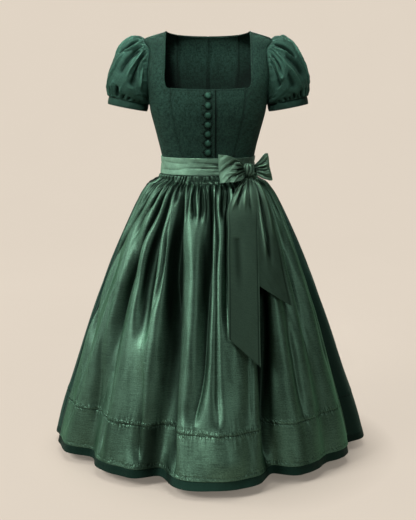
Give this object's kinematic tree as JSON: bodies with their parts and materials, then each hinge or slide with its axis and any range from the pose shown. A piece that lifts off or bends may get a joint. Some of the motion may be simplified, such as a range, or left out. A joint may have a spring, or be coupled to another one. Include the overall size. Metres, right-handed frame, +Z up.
{
  "type": "dirndl dress",
  "caption": "Worn-shape dirndl dress with a square-necked buttoned bodice, puff sleeves, a full gathered skirt and a tied apron.",
  "frame": {"origin": "midway between the two shoulder points of the neck edge, where the dress hangs on its wearer", "axes": "+Z up, the front of the dress faces -Y, +X towards the wearer's left"},
  "size_m": [0.8546, 0.7846, 1.1007],
  "materials": {
    "bodice_wool": "matte, fine wool-like weave with a short nap",
    "sleeve_cloth": "soft low sheen, fine plain weave",
    "button_cloth": "matte cloth cover",
    "skirt_cloth": "matte to low sheen, fine weave",
    "apron_satin": "satin, shiny with long soft highlights",
    "ribbon_satin": "satin, shiny"
  },
  "bodies": {
    "root": {"bodice_front_left": "bodice_wool", "bodice_front_right": "bodice_wool", "bodice_side_front_left": "bodice_wool", "bodice_side_front_right": "bodice_wool", "bodice_side_back_left": "bodice_wool", "bodice_side_back_right": "bodice_wool", "bodice_back_left": "bodice_wool", "bodice_back_right": "bodice_wool", "sleeve_left": "sleeve_cloth", "sleeve_right": "sleeve_cloth", "cuff_left": "sleeve_cloth", "cuff_right": "sleeve_cloth", "button_1": "button_cloth", "button_2": "button_cloth", "button_3": "button_cloth", "button_4": "button_cloth", "button_5": "button_cloth", "button_6": "button_cloth", "button_7": "button_cloth", "skirt_front": "skirt_cloth", "skirt_back": "skirt_cloth", "apron": "apron_satin", "apron_band": "ribbon_satin", "bow_knot": "ribbon_satin", "bow_loop_left": "ribbon_satin", "bow_loop_right": "ribbon_satin", "bow_tail_front": "ribbon_satin", "bow_tail_back": "ribbon_satin"}
  },
  "joints": []
}
